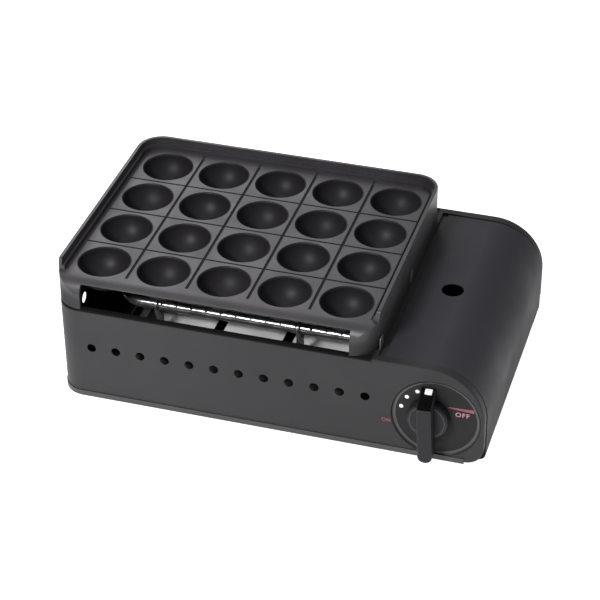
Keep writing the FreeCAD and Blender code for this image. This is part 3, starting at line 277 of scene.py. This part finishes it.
def shade_where(material, mask, dull=False):
    """Multiply a finish's colour by a mask made in its own tree, and dull its gloss there."""
    tree = material.node_tree
    shader = tree.nodes["Principled BSDF"]
    colour = shader.inputs["Base Color"].links[0].from_socket
    mix = tree.nodes.new("ShaderNodeMix")
    mix.data_type = "RGBA"
    mix.blend_type = "MULTIPLY"
    mix.inputs["Factor"].default_value = 1.0
    tree.links.new(colour, mix.inputs["A"])
    shade = mask(tree)
    tree.links.new(shade, mix.inputs["B"])
    if dull:
        gloss = shader.inputs["Roughness"].links[0].from_socket
        worn = math_node(tree, "SUBTRACT", DULL_START, shade)
        matt = math_node(tree, "MAXIMUM", gloss, worn)
        tree.links.new(matt, shader.inputs["Roughness"])
    tree.links.new(mix.outputs["Result"], shader.inputs["Base Color"])


def math_node(tree, operation, first, second=0.0):
    """One sum on a socket and a number or a second socket."""
    node = tree.nodes.new("ShaderNodeMath")
    node.operation = operation
    for entry, value in zip(node.inputs, (first, second)):
        if isinstance(value, bpy.types.NodeSocket):
            tree.links.new(value, entry)
        else:
            entry.default_value = value
    return node.outputs["Value"]


def smooth_step(tree, value, band, origin=0.0):
    """Rise softly to one over a band whose places are counted from an origin."""
    begin, finished, darkest = band
    return map_range(tree, value, origin + begin, origin + finished, darkest, 1.0, "SMOOTHSTEP")


def axes(tree, vector):
    """The three parts of a vector, as sockets."""
    parts = tree.nodes.new("ShaderNodeSeparateXYZ")
    tree.links.new(vector, parts.inputs["Vector"])
    return parts.outputs["X"], parts.outputs["Y"], parts.outputs["Z"]


def object_axes(tree):
    """The piece's own coordinates, as three sockets."""
    return axes(tree, tree.nodes.new("ShaderNodeTexCoord").outputs["Object"])


def groove_shade(tree, x, y):
    """Painted shade along the grooves between the cups, darkest along the columns."""
    half = CUP_PITCH / 2
    across = math_node(tree, "SUBTRACT", x, FIRST_CUP_X - half)
    along = math_node(tree, "SUBTRACT", y, FIRST_CUP_Y + half)
    column = smooth_step(tree, math_node(tree, "PINGPONG", across, half), COLUMN_GROOVE_SHADE)
    row = smooth_step(tree, math_node(tree, "PINGPONG", along, half), ROW_GROOVE_SHADE)
    return math_node(tree, "MINIMUM", column, row)


def off_the_top(tree, x, y, z):
    """One everywhere but on the flat top among the cups."""
    height = math_node(tree, "SUBTRACT", z, PLATE_SURFACE)
    above = math_node(tree, "GREATER_THAN", height, RIM_ABOVE)
    under = math_node(tree, "LESS_THAN", height, SKIRT_BELOW)
    clean = math_node(tree, "MAXIMUM", above, under)
    edges = ((y, "LESS_THAN", FIRST_CUP_Y - GROOVE_SHADE_FRONT),
             (y, "GREATER_THAN", PLATE_HIGH.y - GROOVE_SHADE_BACK),
             (x, "LESS_THAN", PLATE_LOW.x + GROOVE_SHADE_SIDE),
             (x, "GREATER_THAN", PLATE_HIGH.x - GROOVE_SHADE_SIDE))
    for value, test, edge in edges:
        clean = math_node(tree, "MAXIMUM", clean, math_node(tree, test, value, edge))
    return clean


def skirt_shade(tree, x, z):
    """Painted shade: the plate is darker towards its foot, its right end and the foot of its left
    end.
    """
    foot = smooth_step(tree, z, SKIRT_FOOT, PLATE_LOW.z)
    leftward = math_node(tree, "MULTIPLY", x, -1.0)
    right = smooth_step(tree, leftward, (-PLATE_HIGH.x, 0.0, PLATE_RIGHT_SHADE))
    left = smooth_step(tree, x, SKIRT_LEFT, PLATE_LOW.x)
    higher = smooth_step(tree, z, SKIRT_LEFT_UP, PLATE_LOW.z)
    left_foot = math_node(tree, "MAXIMUM", left, higher)
    return math_node(tree, "MULTIPLY", math_node(tree, "MULTIPLY", foot, right), left_foot)


def plate_shade(tree):
    """Painted shade on the cast plate, in its grooves and on its skirt."""
    x, y, z = object_axes(tree)
    lines = groove_shade(tree, x, y)
    top = math_node(tree, "MAXIMUM", lines, off_the_top(tree, x, y, z))
    return math_node(tree, "MULTIPLY", top, skirt_shade(tree, x, z))


def tray_wall_shade(tree):
    """Painted shade: the tray's upright sides, front edge and left end are darker; the rest is
    bright.
    """
    normal = axes(tree, tree.nodes.new("ShaderNodeNewGeometry").outputs["Normal"])
    x, y, _ = object_axes(tree)
    level = smooth_step(tree, math_node(tree, "ABSOLUTE", normal[2]), TRAY_WALLS)
    front = smooth_step(tree, y, TRAY_FRONT)
    left = smooth_step(tree, x, TRAY_LEFT)
    return math_node(tree, "MINIMUM", math_node(tree, "MINIMUM", level, front), left)


def shell_rim_shade(tree):
    """Painted shade on the shell: its top edge is darker under the plate only, and its enamel
    darker to the right.
    """
    x, _, z = object_axes(tree)
    down = math_node(tree, "SUBTRACT", SHELL_HIGH.z, z)
    edge = smooth_step(tree, down, SHELL_RIM)
    beside = smooth_step(tree, x, BESIDE_PLATE, PLATE_HIGH.x)
    right = smooth_step(tree, math_node(tree, "MULTIPLY", x, -1.0), SHELL_RIGHT)
    return math_node(tree, "MULTIPLY", math_node(tree, "MAXIMUM", edge, beside), right)


def tube_bend_shade(tree):
    """Painted shade: the burner tube's bend at the left end is darker."""
    return smooth_step(tree, object_axes(tree)[0], TUBE_BEND, BURNER_LOW.x)


def bracket_leg_shade(tree):
    """Painted shade: the burner brackets stay bright round the tube and are darker below it."""
    return smooth_step(tree, object_axes(tree)[2], BRACKET_LEGS, BURNER_LOW.z)


def cover_foot_shade(tree):
    """Painted shade: the cover is darker towards its foot, and its gloss duller there."""
    return smooth_step(tree, object_axes(tree)[2], COVER_FOOT)


# Painted shade multiplied into six finishes, with duller gloss where dull is set.
shade_where(COATED_PLATE, plate_shade, dull=True)
shade_where(BLACK_ENAMEL, shell_rim_shade, dull=True)
shade_where(COVER_ENAMEL, cover_foot_shade, dull=True)
shade_where(BRACKET_STEEL, bracket_leg_shade)
shade_where(TUBE_STEEL, tube_bend_shade)
shade_where(TRAY_SHEET, tray_wall_shade, dull=True)

NODE_FINISH = {
    "takoyaki_plate": COATED_PLATE,
    "body_shell": BLACK_ENAMEL,
    "cartridge_cover": COVER_ENAMEL,
    "partition_wall": BLACK_ENAMEL,
    "plate_locating_tabs": TAB_STEEL,
    "base_pan": PAN_ENAMEL,
    "rubber_feet": RUBBER,
    "igniter_lead": RUBBER,
    "heat_shield_tray": TRAY_SHEET,
    "burner_brackets": BRACKET_STEEL,
    "heat_panel": ALUMINISED,
    "burner_tube": TUBE_STEEL,
    "mixing_tube": TUBE_STEEL,
    "spark_electrode": TUBE_STEEL,
    "cover_hinge_pins": TUBE_STEEL,
    "burner_end_plug": BRASS,
    "gas_jet": BRASS,
    "valve_spindle": BRASS,
    "gas_feed_pipe": COPPER,
    "valve_body": CAST_ZINC,
    "governor_housing": CAST_ZINC,
    "magnet_ring": MAGNET,
    "electrode_insulator": CERAMIC,
    "igniter_body": IGNITER_PLASTIC,
    "knob": KNOB_PLASTIC,
}


def dress_nodes():
    """Give every CAD node its finish; plated steel is the rest."""
    for name, node in nodes.items():
        material = NODE_FINISH.get(name, ZINC)
        for place in node.material_slots:
            place.material = material


# ---------------------------------------------------------------- mesh helpers


def piece(name, mesh, material, body, smooth=True):
    """Wrap a bmesh as a finished piece that rides on a body."""
    data = bpy.data.meshes.new(name)
    bmesh.ops.recalc_face_normals(mesh, faces=mesh.faces)
    mesh.to_mesh(data)
    mesh.free()
    item = bpy.data.objects.new(name, data)
    bpy.context.collection.objects.link(item)
    data.materials.append(material)
    for face in data.polygons:
        face.use_smooth = smooth
    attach(item, body)


def band(mesh, low, high):
    """Join two rings of as many points with a band of faces."""
    for i in range(len(low)):
        j = (i + 1) % len(low)
        mesh.faces.new((low[i], low[j], high[j], high[i]))


def stack(mesh, rings):
    """Join each ring to the next."""
    for low, high in zip(rings, rings[1:]):
        band(mesh, low, high)


def lathe(mesh, profile, centre, axis="Z", segments=48):
    """Turn (radius, distance) points about an axis through centre."""
    rings = []
    for radius, along in profile:
        ring = []
        for i in range(segments):
            angle = 2 * math.pi * i / segments
            u, v = radius * math.cos(angle), radius * math.sin(angle)
            offset = {"Z": (u, v, along), "Y": (u, along, v)}[axis]
            ring.append(mesh.verts.new(Vector(centre) + Vector(offset)))
        rings.append(ring)
    stack(mesh, rings)
    return rings


def arc(centre, radius, start, end, steps):
    """Points on a circle arc, angles in degrees."""
    points = []
    for i in range(steps + 1):
        angle = math.radians(start + (end - start) * i / steps)
        points.append((centre[0] + radius * math.cos(angle), centre[1] + radius * math.sin(angle)))
    return points


# ---------------------------------------------------------------- cast plate


def lining_profile():
    """The half-round bowl, and the lip that rolls over on to the plate's top."""
    radius = CUP_RADIUS - LINING_GAP
    bowl = [(radius * math.sin(math.radians(a)), -radius * math.cos(math.radians(a)))
            for a in range(4, 85, 4)]
    edge_r, edge_z = bowl[-1]
    lip = [(edge_r + LIP_RADIUS * (1 - math.cos(math.radians(a))),
            edge_z + (LINING_LIFT - edge_z) * math.sin(math.radians(a)))
           for a in range(10, 91, 10)]
    return bowl + lip


def cup_linings():
    """The smooth coated bowls, each with a softly rounded lip."""
    profile = lining_profile()
    mesh = bmesh.new()
    for column in range(CUP_COLUMNS):
        for row in range(CUP_ROWS):
            centre = (FIRST_CUP_X + column * CUP_PITCH, FIRST_CUP_Y + row * CUP_PITCH,
                      PLATE_SURFACE)
            rings = lathe(mesh, profile, centre)
            mesh.faces.new(rings[0])
    piece("cup_linings", mesh, CUP_COAT, "plate")


# ---------------------------------------------------------------- dial and knob


def on_dial(angle, radius):
    """A place on the dial floor, by angle from +X and distance from the spindle."""
    turn = math.radians(angle)
    return Vector((SPINDLE_X + radius * math.cos(turn), DIAL_FLOOR_Y - DECAL_LIFT,
                   SPINDLE_Z + radius * math.sin(turn)))


def flat_spot(mesh, centre, outline):
    """A thin printed patch that faces the front."""
    front = [mesh.verts.new(centre + Vector((x, 0, z))) for x, z in outline]
    mesh.faces.new(front)


def dial_dots():
    """Printed dots that show how far the flame is turned up."""
    white = bmesh.new()
    for angle in DOT_ANGLES:
        flat_spot(white, on_dial(angle, DOT_CIRCLE), arc((0, 0), DOT_RADIUS, 0, 345, 23))
    piece("dial_dots", white, WHITE_PRINT, "base")


def printed_word(name, word, place, height, material):
    """A generic switch word in plain capitals, printed on the front."""
    curve = bpy.data.curves.new(name + "_curve", "FONT")
    curve.body = word
    curve.space_character = LETTER_SPACING
    curve.size = height / CAPITAL_SHARE
    curve.align_x = "CENTER"
    curve.align_y = "CENTER"
    curve.offset = height * LETTER_WEIGHT
    source = bpy.data.objects.new(name + "_source", curve)
    data = bpy.data.meshes.new_from_object(source)
    mesh = bmesh.new()
    mesh.from_mesh(data)
    upright = Matrix.Rotation(math.radians(90), 4, "X")
    bmesh.ops.transform(mesh, matrix=upright, verts=mesh.verts)
    bmesh.ops.translate(mesh, vec=place, verts=mesh.verts)
    bpy.data.objects.remove(source)
    bpy.data.meshes.remove(data)
    piece(name, mesh, material, "base", smooth=False)


def dial_words():
    """ON and OFF beside the knob, with a plain bar over OFF."""
    panel = SHELL_FRONT - DECAL_LIFT
    floor = DIAL_FLOOR_Y - DECAL_LIFT
    printed_word("mark_on", "ON", (ON_X, panel, ON_Z), ON_HEIGHT, RED_PRINT)
    printed_word("mark_off", "OFF", (OFF_X, floor, OFF_Z), OFF_HEIGHT, PALE_PRINT)
    bar = bmesh.new()
    flat_spot(bar, Vector((BAR_X, floor, BAR_Z)), BAR_OUTLINE)
    piece("mark_bar", bar, RED_PRINT, "base", smooth=False)


def dial_cove():
    """The soft cove where the dial's recess turns up to the panel."""
    inner, outer = DIAL_RADIUS - COVE_INNER_INSET, DIAL_RADIUS - COVE_OUTER_INSET
    rise = DIAL_FLOOR_Y - SHELL_FRONT - COVE_TOP_GAP
    profile = []
    for i in range(COVE_STEPS + 1):
        turn = math.radians(90 * i / COVE_STEPS)
        profile.append((inner + (outer - inner) * math.sin(turn),
                        -rise * (1 - math.cos(turn)) - COVE_LIFT))
    mesh = bmesh.new()
    lathe(mesh, profile, (DIAL_X, DIAL_FLOOR_Y, DIAL_Z), axis="Y", segments=ROUND_STEPS)
    piece("dial_cove", mesh, GLOSS_ENAMEL, "base")


def dial_face():
    """The dull dial disc behind the knob, with a hole round the spindle."""
    inside = [(HOLE_FOOT, -FACE_FOOT_LIFT), (HOLE_RADIUS, -FACE_LIFT)]
    outside = [(DIAL_RADIUS - FACE_INSET, -FACE_LIFT),
               (DIAL_RADIUS - FACE_FOOT_INSET, -FACE_FOOT_LIFT)]
    mesh = bmesh.new()
    hole = lathe(mesh, inside, (SPINDLE_X, DIAL_FLOOR_Y, SPINDLE_Z), axis="Y",
                 segments=ROUND_STEPS)
    edge = lathe(mesh, outside, (DIAL_X, DIAL_FLOOR_Y, DIAL_Z), axis="Y",
                 segments=ROUND_STEPS)
    band(mesh, hole[-1], edge[0])
    piece("dial_face", mesh, DIAL_BLACK, "base")


def disc_rim():
    """The polished bevel round the knob's disc."""
    face_y = DIAL_FLOOR_Y - KNOB_AIR - DISC_DEPTH
    radius, bevel = DISC_RADIUS, DISC_BEVEL
    profile = [(radius + 0.00006, face_y + bevel + 0.0004),
               (radius + RIM_LIFT, face_y + bevel),
               (radius - bevel * 0.55, face_y + bevel * 0.38),
               (radius - bevel, face_y - RIM_LIFT),
               (radius - bevel - 0.0004, face_y - 0.00003)]
    mesh = bmesh.new()
    lathe(mesh, profile, (SPINDLE_X, 0, SPINDLE_Z), axis="Y", segments=ROUND_STEPS)
    piece("knob_disc_rim", mesh, KNOB_GLOSS, "knob")


def on_knob(across, y, up):
    """A place on the knob, whose grip leans a little to the left."""
    return Vector((SPINDLE_X + across * math.cos(KNOB_TILT) - up * math.sin(KNOB_TILT), y,
                   SPINDLE_Z + across * math.sin(KNOB_TILT) + up * math.cos(KNOB_TILT)))


def slope_inlay(name, middle, half, low, high, lift, material):
    """A thin bevelled inlay on the pointer's slope; low and high are shares of its length."""
    foot_y, foot_up = KNOB_LOW.y, GRIP_UP
    tip_y, tip_up = KNOB_HIGH.y - POINTER_EDGE, POINTER_UP
    rise = math.atan2(tip_up - foot_up, tip_y - foot_y)
    lift_y, lift_up = -math.sin(rise), math.cos(rise)
    length = math.hypot(tip_y - foot_y, tip_up - foot_up)
    levels = ((0.0, INLAY_FOOT), (0.0, lift - INLAY_BEVEL_DEPTH), (INLAY_BEVEL_WIDTH, lift))
    mesh = bmesh.new()
    rings = []
    for inset, height in levels:
        start, end, side = low + inset / length, high - inset / length, half - inset
        ring = []
        for across, along in ((-side, start), (side, start), (side, end), (-side, end)):
            y = foot_y + (tip_y - foot_y) * along + lift_y * height
            up = foot_up + (tip_up - foot_up) * along + lift_up * height
            ring.append(mesh.verts.new(on_knob(middle + across, y, up)))
        rings.append(ring)
    stack(mesh, rings)
    mesh.faces.new(rings[-1])
    piece(name, mesh, material, "knob", smooth=False)


def pointer_inlays():
    """A dull black strip down the pointer's slope, partly its own black and partly painted shade,
    with a white mark at its upper end.
    """
    slope_inlay("pointer_strip", middle=0.0, half=0.0050, low=0.05, high=0.995, lift=0.00012,
                material=POINTER_BLACK_AND_SHADE)
    slope_inlay("pointer_mark", middle=0.0006, half=0.0027, low=0.74, high=0.985, lift=0.00030,
                material=WHITE_PRINT)


# ---------------------------------------------------------------- screws


def cross_reach(angle, arm, half):
    """Distance from the middle of a cross to its outline."""
    across, up = max(abs(math.cos(angle)), 1e-6), max(abs(math.sin(angle)), 1e-6)
    return max(min(arm / across, half / up), min(arm / up, half / across))


def cross_screw(mesh, centre, outward, radius, height):
    """A low round screw head with a sunken cross."""
    outward = Vector(outward)
    side = outward.orthogonal().normalized()
    other = outward.cross(side)
    arm, half = radius * CROSS_ARM, radius * CROSS_HALF_WIDTH
    rings = []
    for reach, level in SCREW_PROFILE:
        ring = []
        for i in range(SCREW_STEPS):
            angle = 2 * math.pi * (i + 0.5) / SCREW_STEPS
            span = radius * reach if reach else cross_reach(angle, arm, half)
            spot = side * (span * math.cos(angle)) + other * (span * math.sin(angle))
            ring.append(mesh.verts.new(Vector(centre) + spot + outward * (height * level)))
        rings.append(ring)
    stack(mesh, rings)
    mesh.faces.new(rings[-1])


def body_screws():
    """Low blackened screws at the back, the left end and the underside."""
    mesh = bmesh.new()
    for x in BACK_SCREWS_X:
        place = (x, SHELL_HIGH.y - SCREW_SINK, BODY_SCREW_Z)
        cross_screw(mesh, place, (0, 1, 0), *BODY_SCREW)
    for y in END_SCREWS_Y:
        place = (SHELL_LOW.x + SCREW_SINK, y, BODY_SCREW_Z)
        cross_screw(mesh, place, (-1, 0, 0), *BODY_SCREW)
    for x in PAN_SCREWS_X:
        for y in PAN_SCREWS_Y:
            cross_screw(mesh, (x, y, PAN_LOW.z + SCREW_SINK), (0, 0, -1), *PAN_SCREW)
    piece("body_screws", mesh, SCREW_BLACK, "base", smooth=False)


def cap_screws(mesh):
    """Four small screws on the governor's cap."""
    low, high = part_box("governor_cap")
    middle = (low + high) / 2
    reach = (high.x - low.x) / 2 - CAP_SCREW_INSET
    for angle in CAP_SCREW_ANGLES:
        turn = math.radians(angle)
        place = (middle.x + reach * math.cos(turn), high.y - SCREW_SINK,
                 middle.z + reach * math.sin(turn))
        cross_screw(mesh, place, (0, 1, 0), *CAP_SCREW)


def jet_screws(mesh):
    """Two screws in opposite corners of the jet's bracket."""
    low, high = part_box("jet_bracket")
    inset = JET_SCREW_INSET
    for y, z in ((low.y + inset, low.z + inset), (high.y - inset, high.z - inset)):
        cross_screw(mesh, (low.x + SCREW_SINK, y, z), (-1, 0, 0), *JET_SCREW)


def inner_screws():
    """Plated screws inside the body."""
    mesh = bmesh.new()
    cap_screws(mesh)
    jet_screws(mesh)
    piece("inner_screws", mesh, ZINC, "base", smooth=False)


# ---------------------------------------------------------------- studio and camera

FLOOR_HALF = 4.0
FLOOR_GLOW = 0.95
AIR_STRENGTH = 0.35
LIGHT_TARGET = Vector((0, 0, 0.05))
LIGHTS = (  # name, place, width, height and power
    ("back_light", (-1.15, 1.42, 1.3), 1.6, 1.2, 20.5),
    ("top_light", (0.1, 0.3, 1.9), 0.9, 0.9, 3.0),
    ("key_light", (-0.32, -1.04, 0.92), 0.30, 0.13, 15.0),
)

CAMERA_AZIMUTH = math.radians(17.08)
CAMERA_ELEVATION = math.radians(34.96)
CAMERA_ROLL = math.radians(-0.52)
CAMERA_TARGET = Vector((-0.0049, 0.0063, 0.0488))
CAMERA_DISTANCE = 1.6524
CAMERA_LENS = 126.9
CAMERA_SENSOR = 36.0
CAMERA_NEAR = 0.05


def area_light(name, place, width, height, power):
    """A soft rectangular light that faces the object."""
    data = bpy.data.lights.new(name, "AREA")
    data.shape = "RECTANGLE"
    data.size = width
    data.size_y = height
    data.energy = power
    light = bpy.data.objects.new(name, data)
    light.location = place
    light.rotation_mode = "QUATERNION"
    light.rotation_quaternion = (LIGHT_TARGET - Vector(place)).to_track_quat("-Z", "Y")
    bpy.context.collection.objects.link(light)


def pale_floor():
    """A plain pale floor that glows a little."""
    mesh = bmesh.new()
    half = FLOOR_HALF
    corners = ((-half, -half), (half, -half), (half, half), (-half, half))
    mesh.faces.new([mesh.verts.new((x, y, 0)) for x, y in corners])
    data = bpy.data.meshes.new("floor")
    mesh.to_mesh(data)
    mesh.free()
    floor = bpy.data.objects.new("floor", data)
    data.materials.append(finish("floor_paint", (0.85, 0.85, 0.85), 0.6, spread=0.0,
                                 bump_scale=50.0, bump_depth=0.00001, glow=FLOOR_GLOW))
    bpy.context.collection.objects.link(floor)


def studio():
    """The floor, a pale surround and soft lights, the strongest from the back left."""
    pale_floor()
    world = bpy.data.worlds.new("studio_air")
    world.use_nodes = True
    background = world.node_tree.nodes["Background"]
    background.inputs["Color"].default_value = WHITE
    background.inputs["Strength"].default_value = AIR_STRENGTH
    bpy.context.scene.world = world
    for name, place, width, height, power in LIGHTS:
        area_light(name, place, width, height, power)
    bpy.context.scene.view_settings.view_transform = "Standard"


def camera():
    """The photograph's viewpoint."""
    data = bpy.data.cameras.new("camera")
    data.lens = CAMERA_LENS
    data.sensor_width = CAMERA_SENSOR
    data.clip_start = CAMERA_NEAR
    flat = math.cos(CAMERA_ELEVATION)
    away = Vector((math.sin(CAMERA_AZIMUTH) * flat, -math.cos(CAMERA_AZIMUTH) * flat,
                   math.sin(CAMERA_ELEVATION)))
    view = bpy.data.objects.new("camera", data)
    view.location = CAMERA_TARGET + away * CAMERA_DISTANCE
    view.rotation_mode = "QUATERNION"
    roll = Quaternion((0, 0, 1), CAMERA_ROLL)
    view.rotation_quaternion = (-away).to_track_quat("-Z", "Y") @ roll
    bpy.context.collection.objects.link(view)
    bpy.context.scene.camera = view


camera()
studio()
dress_nodes()
cup_linings()
dial_dots()
dial_words()
pointer_inlays()
dial_cove()
dial_face()
disc_rim()
body_screws()
inner_screws()
